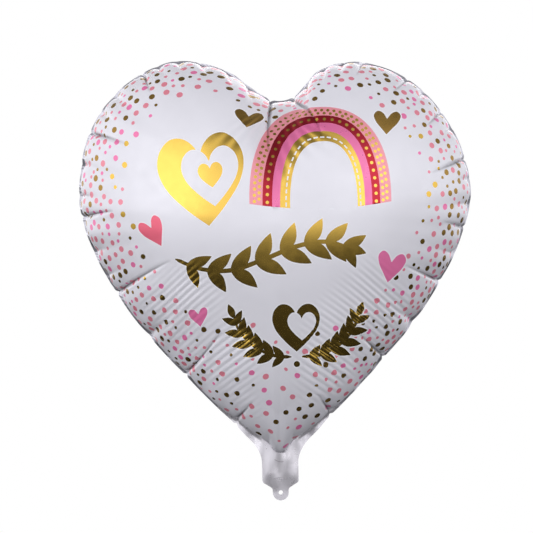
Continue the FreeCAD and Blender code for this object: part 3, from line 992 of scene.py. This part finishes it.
def film_material(name, color, metallic, roughness, coat=0.0, alpha=1.0, crinkle=0.02,
                  tint=0.03, embossed=0.0):
    """A printed film: slight tone and gloss variation, painted shade from the fold attribute, fine
    crinkles and optional embossing.
    """
    material = bpy.data.materials.new(name)
    material.use_nodes = True
    nodes, links = material.node_tree.nodes, material.node_tree.links
    shader = nodes["Principled BSDF"]
    for socket, value in (("Metallic", metallic), ("Coat Weight", coat),
                          ("Coat Roughness", COAT_ROUGHNESS), ("Alpha", alpha)):
        shader.inputs[socket].default_value = value
    place = nodes.new("ShaderNodeTexCoord")

    def noise(scale, detail):
        node = nodes.new("ShaderNodeTexNoise")
        node.inputs["Scale"].default_value = scale
        node.inputs["Detail"].default_value = detail
        links.new(place.outputs["Object"], node.inputs["Vector"])
        return node

    def ramp(source, low, high):
        return map_range(nodes, links, source.outputs["Fac"], 0.35, 0.65, low, high)

    def scaled_sum(source, factor, base):
        node = nodes.new("ShaderNodeMath")
        node.operation = "MULTIPLY_ADD"
        node.inputs[1].default_value = factor
        links.new(source.outputs["Fac"], node.inputs[0])
        links.new(base, node.inputs[2])
        return node.outputs[0]

    tone = nodes.new("ShaderNodeMix")
    tone.data_type = "RGBA"
    tone.inputs["A"].default_value = [max(0.0, c * (1 - tint)) for c in color] + [1]
    tone.inputs["B"].default_value = [min(1.0, c * (1 + tint)) for c in color] + [1]
    links.new(ramp(noise(14, 3), 0, 1), tone.inputs["Factor"])
    # painted shade: the colour darkened by the mesh's fold attribute, in folds, near the tip and
    # down the tail
    painted_shade_mix = nodes.new("ShaderNodeMix")
    painted_shade_mix.data_type = "RGBA"
    painted_shade_mix.inputs["B"].default_value = [c * PAINTED_SHADE_TONE for c in color] + [1]
    painted_shade_attribute = nodes.new("ShaderNodeAttribute")
    painted_shade_attribute.attribute_name = "fold"
    links.new(painted_shade_attribute.outputs["Fac"], painted_shade_mix.inputs["Factor"])
    links.new(tone.outputs["Result"], painted_shade_mix.inputs["A"])
    links.new(painted_shade_mix.outputs["Result"], shader.inputs["Base Color"])
    links.new(ramp(noise(120, 4), roughness * 0.85, roughness * 1.15),
              shader.inputs["Roughness"])
    height = scaled_sum(noise(900, 2), 0.12, noise(55, 3).outputs["Fac"])
    if embossed:
        weave = nodes.new("ShaderNodeTexWave")
        weave.inputs["Scale"].default_value = 260
        weave.bands_direction = "DIAGONAL"
        links.new(place.outputs["Object"], weave.inputs["Vector"])
        height = scaled_sum(weave, embossed, height)
    bump = nodes.new("ShaderNodeBump")
    bump.inputs["Strength"].default_value = crinkle
    bump.inputs["Distance"].default_value = BUMP_DISTANCE
    links.new(height, bump.inputs["Height"])
    links.new(bump.outputs["Normal"], shader.inputs["Normal"])
    return material


MATERIALS = {
    "pearl": film_material("pearl_film", (0.87, 0.86, 0.92), 0.12, 0.42, coat=0.25,
                           crinkle=0.04),
    "silver": film_material("seal_film", (0.56, 0.55, 0.61), 0.75, 0.30, crinkle=0.15,
                            embossed=0.5),
    "tail": film_material("tail_film", (0.64, 0.62, 0.66), 0.5, 0.30, alpha=0.90, crinkle=0.12),
    "gold": film_material("gold_print", (0.64, 0.42, 0.085), 1.0, 0.22, crinkle=0.0, tint=0.01),
    "bronze": film_material("bronze_print", (0.34, 0.205, 0.05), 0.9, 0.28, crinkle=0.0),
    "blush": film_material("blush_print", (0.92, 0.34, 0.40), 0.25, 0.36, coat=0.2),
    "wine": film_material("wine_print", (0.38, 0.014, 0.03), 0.8, 0.24, coat=0.1, tint=0.06),
    "rose": film_material("rose_print", (0.84, 0.18, 0.40), 0.35, 0.32, coat=0.2),
    "coral": film_material("coral_print", (0.95, 0.165, 0.25), 0.4, 0.33, coat=0.2, tint=0.05),
    "magenta": film_material("magenta_print", (0.95, 0.22, 0.47), 0.25, 0.34, coat=0.2),
    "salmon": film_material("salmon_print", (0.90, 0.28, 0.36), 0.25, 0.34, coat=0.2),
    "chalk": film_material("chalk_print", (0.93, 0.925, 0.97), 0.05, 0.42, coat=0.2),
    "mark": film_material("nozzle_mark", (0.36, 0.33, 0.36), 0.3, 0.4, alpha=0.9),
    "valve": film_material("valve_film", (0.72, 0.70, 0.75), 0.0, 0.30, alpha=0.25,
                           crinkle=0.3),
}

# ---------- build the pieces

ARTWORK = artwork()

front = film_mesh("front_film", FRONT)
back = film_mesh("back_film", BACK)
for film_object, end_name in ((front, "front"), (back, "back")):
    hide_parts(f"{end_name}_foil_panel", f"{end_name}_foil_tail")
    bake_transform(film_object)

for end_name, side in (("front", FRONT), ("back", BACK)):
    valve = valve_mesh(f"{end_name}_valve", side)
    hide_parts(f"{end_name}_valve_film", f"{end_name}_valve_mouth")
    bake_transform(valve)

# ---------- floor, light and camera


def stage_material(name, color):
    """A matt paint for the stage."""
    material = bpy.data.materials.new(name)
    material.use_nodes = True
    shader = material.node_tree.nodes["Principled BSDF"]
    shader.inputs["Base Color"].default_value = (*color, 1)
    shader.inputs["Roughness"].default_value = 0.9
    return material


def make_floor(half, z):
    """A pale square far below, in metres: the balloon floats."""
    mesh = bpy.data.meshes.new("floor")
    mesh.from_pydata([(-half, -half, z), (half, -half, z), (half, half, z), (-half, half, z)],
                     [], [(0, 1, 2, 3)])
    mesh.materials.append(stage_material("floor_paint", (0.86, 0.86, 0.87)))
    obj = linked("floor", mesh)


def make_light(name, place, width, height, power):
    """A soft box at a place, turned towards the heart; metres and watts."""
    data = bpy.data.lights.new(name, "AREA")
    data.shape = "RECTANGLE"
    data.size, data.size_y = width, height
    data.energy = power
    obj = linked(name, data)
    obj.location = place
    aim = Vector(HEART_MIDDLE) - Vector(place)
    obj.rotation_euler = aim.to_track_quat("-Z", "Y").to_euler()


HEART_MIDDLE = (0, 0, 0.24)
LIGHTS = [  # name, place, width, height and power
    ("left_box", (-1.22, -1.56, 0.78), 1.1, 1.3, 3.4),
    ("right_box", (1.14, -1.63, 0.68), 0.9, 1.2, 2.4),
    ("back_box", (0.2, 1.6, 1.0), 1.4, 1.4, 9),
]
ROOM_TONES = [  # upward part of the direction, and the brightness of the room there
    (-1.00, 0.04), (-0.50, 0.05), (-0.34, 0.09), (-0.17, 0.56), (0.00, 1.58), (0.34, 1.36),
    (0.70, 0.40), (1.00, 0.18),
]


def make_world():
    """White behind the object, and a soft room to light it, brightest in front and half way up."""
    world = bpy.data.worlds.new("studio")
    bpy.context.scene.world = world
    world.use_nodes = True
    nodes, links = world.node_tree.nodes, world.node_tree.links
    nodes.clear()
    out = nodes.new("ShaderNodeOutputWorld")
    seen = nodes.new("ShaderNodeBackground")
    seen.inputs["Color"].default_value = (1, 1, 1, 1)
    seen.inputs["Strength"].default_value = 1.0
    room = nodes.new("ShaderNodeBackground")
    place = nodes.new("ShaderNodeTexCoord")
    split = nodes.new("ShaderNodeSeparateXYZ")
    links.new(place.outputs["Generated"], split.inputs["Vector"])
    ramp = nodes.new("ShaderNodeValToRGB")
    links.new(map_range(nodes, links, split.outputs["Z"], -1, 1, 0, 1), ramp.inputs["Fac"])
    stops = ramp.color_ramp.elements
    while len(stops) < len(ROOM_TONES):
        stops.new(0.5)
    for stop, (up, tone) in zip(stops, ROOM_TONES):
        stop.position = (up + 1) / 2
        stop.color = (tone, tone, tone * 1.03, 1)
    frontal = map_range(nodes, links, split.outputs["Y"], 0.6, -0.5, 0.85, 1.0)
    sideways = map_range(nodes, links, split.outputs["X"], -0.8, 0.8, 1.14, 0.94)
    strength = nodes.new("ShaderNodeMath")
    strength.operation = "MULTIPLY"
    links.new(frontal, strength.inputs[0])
    links.new(sideways, strength.inputs[1])
    links.new(strength.outputs[0], room.inputs["Strength"])
    links.new(ramp.outputs["Color"], room.inputs["Color"])
    path = nodes.new("ShaderNodeLightPath")
    mix = nodes.new("ShaderNodeMixShader")
    links.new(path.outputs["Is Camera Ray"], mix.inputs["Fac"])
    links.new(room.outputs["Background"], mix.inputs[1])
    links.new(seen.outputs["Background"], mix.inputs[2])
    links.new(mix.outputs["Shader"], out.inputs["Surface"])


def make_camera():
    """A level view of the printed front, turned by a slight roll."""
    data = bpy.data.cameras.new("camera")
    data.sensor_width = 36
    data.lens = data.sensor_width * CAMERA_DISTANCE / PICTURE_WIDTH
    data.clip_end = 50
    obj = linked("camera", data)
    obj.location = (CAMERA_X * MM, -CAMERA_DISTANCE * MM, CAMERA_Z * MM)
    obj.rotation_euler = (math.pi / 2, math.radians(CAMERA_ROLL), 0)
    bpy.context.scene.camera = obj


make_floor(0.9, -2.6)
make_world()
make_camera()
for light in LIGHTS:
    make_light(*light)
bpy.context.scene.view_settings.view_transform = "Standard"

bpy.context.view_layer.update()
